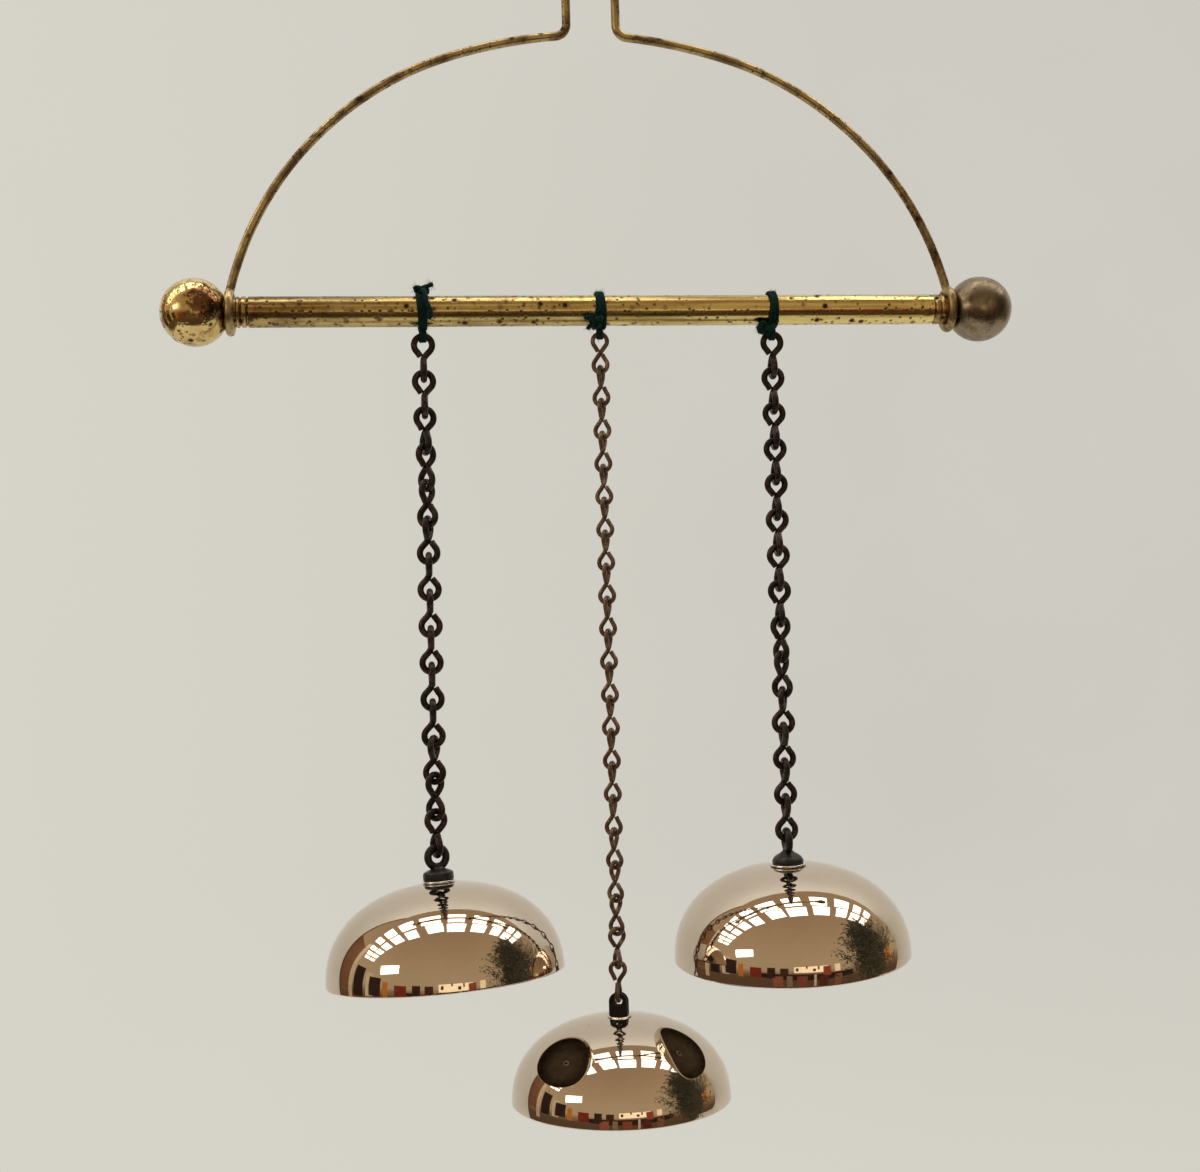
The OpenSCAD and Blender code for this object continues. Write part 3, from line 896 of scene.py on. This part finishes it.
def wind_band(tie, middle, wraps, rng):
    """The turns of yarn round the rod, none quite square to it."""
    stations = []
    for offset in wraps:
        lean = rng.uniform(-0.4, 0.4) * MM
        wrap = arc(middle + X * offset * MM, BAND_R, 0, 2 * pi, Y, Z, 48)
        for p in wrap:
            p.x += lean * sin(atan2(p.z - ROD_Z, p.y)) + rng.uniform(-1, 1) * 0.03 * MM
        stations += plied(tie, wrap, WRAP_R, 3.0 * MM, rng)
    return stations


def hang_loops(tie, side, middle, spread, rng):
    """Three loops of yarn over the rod and through the chain's top link."""
    wire = OUTER_WIRE if side in SIDES else CENTRE_WIRE
    clearance = 0.1 * MM
    wire_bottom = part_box(side + "_yarn_tie")[0].z + 2 * YARN_R + clearance
    hang = ROD_Z - (wire_bottom + wire / 2)
    bight_r = wire / 2 + clearance + LOOP_YARN_R
    tilt = asin((BAND_R - bight_r) / hang)
    stations = []
    for offset in (-spread, 0, spread):
        aside = X * offset * MM
        top = arc(middle + aside * 1.5, BAND_R + 0.08 * MM, tilt, pi - tilt, Y, Z, 30)
        below = middle + aside - Z * (hang + rng.uniform(0, 0.05) * MM)
        bottom = arc(below, bight_r, pi - tilt, 2 * pi + tilt, Y, Z, 20)
        down = [top[-1].lerp(bottom[0], i / 8) for i in range(1, 8)]
        up = [bottom[-1].lerp(top[0], i / 8) for i in range(1, 9)]
        stations += plied(tie, top + down + bottom + up, LOOP_YARN_R, 2.8 * MM, rng)
    return stations


def make_tie(side, tails, wraps, knot_angle, seed, spread=0.46, knot_size=1.7, knot_aside=0.0):
    """Yarn wound round the rod, through the top link, and knotted with frayed tails.

    tails are steps from the knot, and wraps are the turns' places along the rod, in mm.
    knot_angle is in degrees from the top of the rod towards the front.
    """
    rng = random.Random(seed)
    middle = Vector((SIDES.get(side, 0) * CHAIN_X, 0, ROD_Z))
    tie = Build()
    stations = wind_band(tie, middle, wraps, rng)
    stations += hang_loops(tie, side, middle, spread, rng)
    turn = radians(knot_angle)
    out = Vector((0, -sin(turn), cos(turn)))
    knot = middle + out * (BAND_R + 0.53 * knot_size * MM) + X * knot_aside * MM
    stations += plied(tie, knot_path(knot, knot_size * MM, out), 0.36 * knot_size * MM, 2.6 * MM, rng)
    ends = []
    for tail in tails:
        path = smooth_path([knot] + [knot + Vector(step) * MM for step in tail])
        laid = plied(tie, path, 0.58 * MM, 2.8 * MM, rng)
        stations += laid
        ends += laid[-6:]
    fuzz(tie, stations, WRAP_R, 420, 1.5 * MM, rng)
    fuzz(tie, ends, 0.4 * MM, 90, 2.1 * MM, rng)
    tie.piece(side + "_yarn", side + "_tie", "green_yarn", side + "_yarn_tie", smooth_angle=80)


# ------- stage
def staged(name, verts, faces, shader, seen_by, smooth=False):
    """A mesh of the studio, which isn't part of the object, seen only by some kinds of ray."""
    mesh = bpy.data.meshes.new(name)
    mesh.from_pydata(verts, [], faces)
    mesh.polygons.foreach_set("use_smooth", [smooth] * len(faces))
    mesh.materials.append(shader.mat)
    made = in_scene(name, mesh)
    for kind in ("camera", "glossy", "diffuse", "shadow"):
        setattr(made, "visible_" + kind, kind in seen_by)


def left_edge(z):
    """The backdrop's left edge, which slants outwards towards the floor."""
    return -0.45 - (0.78 - z) * 0.26


def make_surround():
    """A pale glowing surround for the camera alone, so that every side has the same studio. Its glow is
    painted light, darker towards the right except low down, as on an unevenly lit wall.
    """
    reach, rows, steps = 8, 32, 64
    verts = []
    for i in range(rows + 1):
        r, z = reach * sin(pi * i / rows), reach * cos(pi * i / rows)
        verts += [(r * cos(a), r * sin(a), z) for a in around(steps)]
    painted_glow = {"Base_Color": (0, 0, 0), "Emission_Strength": 1.0}
    pale = Shader("surround_painted_light", Roughness=1.0, Specular_IOR_Level=0.0, **painted_glow)
    split = pale.node("SeparateXYZ", {0: pale.place})
    # Painted light falloff: the glow darkens towards the right, except low down.
    across = pale.span(split.outputs["X"], -2.2, 2.5)
    share = pale.times(across, pale.span(split.outputs["Z"], -3.4, -1.4))
    painted_falloff = pale.mix(share, (0.69, 0.668, 0.595), (0.6, 0.578, 0.522))
    cloud = pale.times(pale.span(pale.noise(0.5, 3), 0.3, 0.7), 0.5)
    pale.set("Emission Color", pale.mix(cloud, painted_falloff, (0.66, 0.635, 0.575)))
    staged("surround", verts, strip_faces(rows + 1, steps), pale, ("camera",), smooth=True)


def make_backdrop():
    """The pale wall and floor in one curved sheet, as the metal reflects them."""
    wall_y, front_y, right_x, top_z, floor_z, bend_r = 0.42, -0.4, 1.7, 0.78, -0.66, 0.22
    profile = [(wall_y, top_z)]
    for i in range(25):
        a = pi / 2 * i / 24
        profile.append((wall_y - bend_r + bend_r * cos(a), floor_z + bend_r - bend_r * sin(a)))
    profile.append((front_y, floor_z))
    verts = [(x, y, z) for y, z in profile for x in (left_edge(z), right_x)]
    faces = [(i, i + 1, i + 3, i + 2) for i in range(0, len(verts) - 2, 2)]
    paint = Shader("wall_paint", Roughness=0.9)
    tone = paint.span(paint.noise(2.2, 3), 0.3, 0.7)
    paint.set("Base Color", paint.mix(tone, (0.7, 0.735, 0.748), (0.685, 0.712, 0.722)))
    staged("backdrop", verts, faces, paint, ("glossy", "diffuse", "shadow"), smooth=True)
    trim = Shader("wall_trim", Roughness=0.7)
    trim.set("Base Color", trim.mix(trim.noise(9, 3), (0.05, 0.025, 0.015), (0.09, 0.045, 0.025)))
    trim_w, forward = 0.05, 0.002
    verts = [(left_edge(z) - x, y - forward, z) for y, z in profile for x in (0, trim_w)]
    staged("wall_trim", verts, faces, trim, ("glossy",), smooth=True)


# Props behind and beside the camera, seen only in the polished metal: name, bearing from -Y
# towards +X in degrees, distance from the origin, height, width and tallness in metres, colour, glow, which
# is painted light
PROPS = [
    ("door_brown", -124, 1.5, 0.1, 1.15, 1.1, (0.34, 0.17, 0.1), 0),
    ("door_pale", -103, 1.4, 0.05, 0.12, 1.3, (0.9, 0.76, 0.58), 0.1),
    ("post_dark", -92, 0.95, -0.22, 0.2, 0.4, (0.03, 0.012, 0.006), 0),
    ("post_pale", -79, 1.0, -0.24, 0.14, 0.36, (0.9, 0.8, 0.6), 0),
    ("post_brown", -73, 0.92, -0.26, 0.2, 0.26, (0.04, 0.014, 0.008), 0),
    ("box_orange", -62, 0.9, -0.3, 0.08, 0.24, (0.8, 0.28, 0.03), 0),
    ("box_red", -47, 1.1, -0.33, 0.22, 0.24, (0.34, 0.045, 0.02), 0),
    ("box_dark", -32, 1.2, -0.32, 0.16, 0.26, (0.07, 0.022, 0.014), 0),
    ("shelf_pale", 5, 1.5, -0.24, 0.86, 0.2, (1.0, 0.86, 0.62), 1.3),
    ("jar_one", -8, 1.42, -0.24, 0.06, 0.1, (0.07, 0.03, 0.02), 0),
    ("jar_two", 1, 1.42, -0.17, 0.04, 0.08, (0.2, 0.1, 0.05), 0),
    ("jar_three", 8, 1.42, -0.26, 0.07, 0.08, (0.05, 0.03, 0.02), 0),
    ("jar_four", 12, 1.42, -0.2, 0.04, 0.1, (0.3, 0.06, 0.03), 0),
    ("shelf_dark", -20, 1.45, -0.31, 0.2, 0.24, (0.12, 0.04, 0.024), 0),
    ("box_rust", 20, 1.4, -0.3, 0.18, 0.26, (0.6, 0.13, 0.07), 0),
    ("box_pale", 30, 1.4, -0.24, 0.13, 0.2, (1.0, 0.85, 0.6), 0.8),
    ("crate_one", -26, 1.3, -0.56, 0.22, 0.27, (0.5, 0.17, 0.11), 0.1),
    ("crate_two", -15, 1.3, -0.57, 0.12, 0.3, (0.5, 0.38, 0.26), 0),
    ("crate_three", -3, 1.3, -0.58, 0.22, 0.3, (0.4, 0.12, 0.075), 0.1),
    ("crate_four", 9, 1.3, -0.55, 0.05, 0.33, (0.9, 0.75, 0.55), 0.3),
    ("crate_five", 17, 1.3, -0.57, 0.2, 0.28, (0.2, 0.05, 0.03), 0),
    ("crate_six", 31, 1.3, -0.55, 0.16, 0.3, (0.45, 0.2, 0.12), 0),
    ("box_amber", 88, 1.2, -0.26, 0.2, 0.24, (0.75, 0.3, 0.07), 0.3),
    ("bench", 0, 1.6, -0.5, 3.2, 0.2, (0.07, 0.03, 0.02), 0),
]


def make_props():
    """Upright cards that face the object."""
    for name, bearing, distance, height, width, tall, colour, painted_glow in PROPS:
        a = radians(bearing)
        ahead = Vector((sin(a), -cos(a), 0))
        middle = ahead * distance + Z * height
        half, lift = Vector((cos(a), sin(a), 0)) * width / 2, Z * tall / 2
        corners = [middle - half - lift, middle + half - lift, middle + half + lift, middle - half + lift]
        # A card with a glow gives off painted light: it shines as a lit thing would, though it is no lamp.
        card = Shader(name, Roughness=0.9, Emission_Strength=painted_glow)
        paint = card.mix(card.noise(14, 4), colour, dimmed(colour, 0.6))
        card.set("Base Color", paint)
        card.set("Emission Color", paint)
        staged(name, corners, [(0, 1, 2, 3)], card, ("glossy",))


def make_shrub():
    """A dark leafy shrub before a window, at the right behind the camera."""
    rng = random.Random(5)
    sprays, leaves, distance, height = 420, 44, 1.15, 0.06
    below, above, half_w, taper = 0.55, 0.46, 0.8, 1.15
    a = radians(69)
    middle = Vector((sin(a), -cos(a), 0)) * distance + Z * height
    verts, faces = [], []
    for _ in range(sprays):
        root = middle + Z * rng.uniform(-below, above)
        spread = rng.uniform(0.4, 1) * half_w * (1 - (root.z - middle.z + below) / taper) ** 0.5
        bearing = rng.uniform(0, 2 * pi)
        tip = Vector((cos(bearing), sin(bearing), rng.uniform(0.1, 0.8))) * spread
        for i in range(leaves):
            share = (i + 1) / leaves
            loose = 0.1 * (1.15 - share) * spread / 0.5
            spot = root + tip * share + scatter(rng, loose)
            size = rng.uniform(0.018, 0.042)
            lean = (tip.normalized() + scatter(rng, 0.7)).normalized()
            across = lean.orthogonal().normalized() * size * 0.45
            first = len(verts)
            verts += [spot - lean * size, spot + across, spot + lean * size]
            faces.append((first, first + 1, first + 2))
    leaf = Shader("leaf", Roughness=0.6)
    cloud = leaf.noise(30, 3)
    leaf.set("Base Color", leaf.mix(cloud, (0.012, 0.012, 0.005), (0.05, 0.044, 0.015)))
    staged("shrub", verts, faces, leaf, ("glossy",))


def make_area(name, place, target, size, power, colour, glossy=True, roll=0.0):
    """A rectangular light that shines from place towards target."""
    light = bpy.data.lights.new(name, "AREA")
    light.shape = "RECTANGLE"
    light.size, light.size_y = size
    light.energy = power
    light.color = colour
    made = in_scene(name, light)
    aim = (Vector(target) - Vector(place)).to_track_quat("-Z", "Y").to_matrix().to_4x4()
    made.matrix_world = Matrix.Translation(place) @ aim @ Matrix.Rotation(roll, 4, "Z")
    made.visible_glossy = glossy
    made.visible_camera = False


def make_world():
    """A dim warm room round the set: brown low down, beige at eye level, paler above."""
    world = bpy.data.worlds.new("room")
    bpy.context.scene.world = world
    world.use_nodes = True
    tree = world.node_tree
    tree.nodes.clear()

    def node(kind, source=None):
        made = tree.nodes.new("ShaderNode" + kind)
        if source is not None:
            tree.links.new(source, made.inputs[0])
        return made

    split = node("SeparateXYZ", node("TexCoord").outputs["Generated"])
    lift = node("MapRange", split.outputs["Z"])
    lift.inputs["From Min"].default_value = -1
    ramp = node("ValToRGB", lift.outputs[0])
    node("OutputWorld", node("Background", ramp.outputs[0]).outputs[0])
    stops = [
        (0.0, (0.05, 0.03, 0.02)), (0.42, (0.13, 0.08, 0.045)), (0.47, (0.32, 0.22, 0.135)),
        (0.5, (0.52, 0.395, 0.26)), (0.6, (0.53, 0.4, 0.25)),
        (0.78, (0.49, 0.355, 0.22)), (0.92, (0.44, 0.31, 0.195)), (1.0, (0.4, 0.28, 0.175)),
    ]
    elements = ramp.color_ramp.elements
    for position, _ in stops[1:-1]:
        elements.new(position)
    for element, (_, colour) in zip(elements, stops):
        element.color = (*colour, 1)


def make_lights():
    """Roof-light panes overhead, a bright card, a window behind the shrub, and unseen fills."""
    white = (1.0, 0.985, 0.95)
    rng = random.Random(8)
    for row, (y, deep) in enumerate(((0.16, 0.25), (-0.15, 0.26))):
        for i in range(-7, 5):
            slip = rng.uniform(-0.02, 0.02)
            place = Vector((i * 0.33 + 0.1 + slip, y + slip, 0.9 - 0.02 * abs(i)))
            size = (rng.uniform(0.2, 0.27), deep)
            name = f"roof_pane_{row}_{i + 8}"
            make_area(name, place, place - Z, size, 0.8, white, roll=slip * 2)
    make_area("card", (-1.0, -0.56, 0.13), (0, 0, -0.2), (0.38, 0.2), 1.1, white, roll=0.25)
    make_area("garden_window", (1.5, -0.5, -0.1), (0, 0, -0.1), (0.5, 0.4), 0.9, (1.0, 0.95, 0.8))
    make_area("fill", (0.5, -1.4, 0.1), (0.1, 0.2, -0.3), (1.6, 1.4), 7.8, (0.97, 0.98, 1.0), False)
    make_area("wall_wash", (-0.2, -0.6, 1.6), (0, 0.42, -0.3), (2.4, 0.6), 7, (0.96, 0.985, 1.0), False)


# ------- everything
make_rod()
make_bail()
for end in SIDES:
    make_ferrule(end)
    make_ball(end)
    make_outer_chain(end)
    make_eye_bolt(end)
    make_washer(end)
make_centre_chain()
for bell_side in BELLS:
    make_bell(bell_side)
make_lug()
LEFT_TAILS = [
    [(1.0, -0.9, 0.7), (2.8, -1.2, 1.3)],
    [(-1.1, -0.9, 0.5), (-2.0, -0.9, 0.1)],
    [(0.6, -3.4, -1.0), (1.1, -5.3, -4.2), (2.0, -5.5, -6.6), (1.5, -5.0, -8.4)],
]
make_tie("left", LEFT_TAILS, (-0.95, -0.32, 0.3, 0.9), knot_angle=12, seed=21, spread=0.62)
CENTRE_TAILS = [
    [(-1.4, -0.5, 0.5), (-2.9, -0.3, 0.9)],
    [(-1.2, -0.4, -0.9), (-2.2, -0.1, -2.2)],
]
make_tie("centre", CENTRE_TAILS, (-1.0, -0.35, 0.3, 0.95), knot_angle=128, seed=22, knot_aside=-1.5)
RIGHT_TAILS = [
    [(1.1, 0.2, 0.9), (1.9, 0.5, 2.2)],
    [(-1.3, -0.3, 0.3), (-2.5, -0.2, 0.0)],
    [(-1.2, 0.0, -0.5), (-2.1, 0.2, -0.9)],
]
RIGHT_KNOT = {"knot_angle": 158, "knot_size": 2.1, "knot_aside": -2.0}
make_tie("right", RIGHT_TAILS, (-0.72, 0.02, 0.74), seed=23, **RIGHT_KNOT)

# The nuts and studs keep their CAD shapes.
for node_name in ("left_nut", "right_nut", "centre_nut", "left_finial_stud", "right_finial_stud"):
    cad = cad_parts[node_name]
    cad.data.materials.clear()
    cad.data.materials.append(MATS["plain_steel"])

make_surround()
make_backdrop()
make_props()
make_shrub()
make_world()
make_lights()
bpy.context.scene.view_settings.view_transform = "Standard"
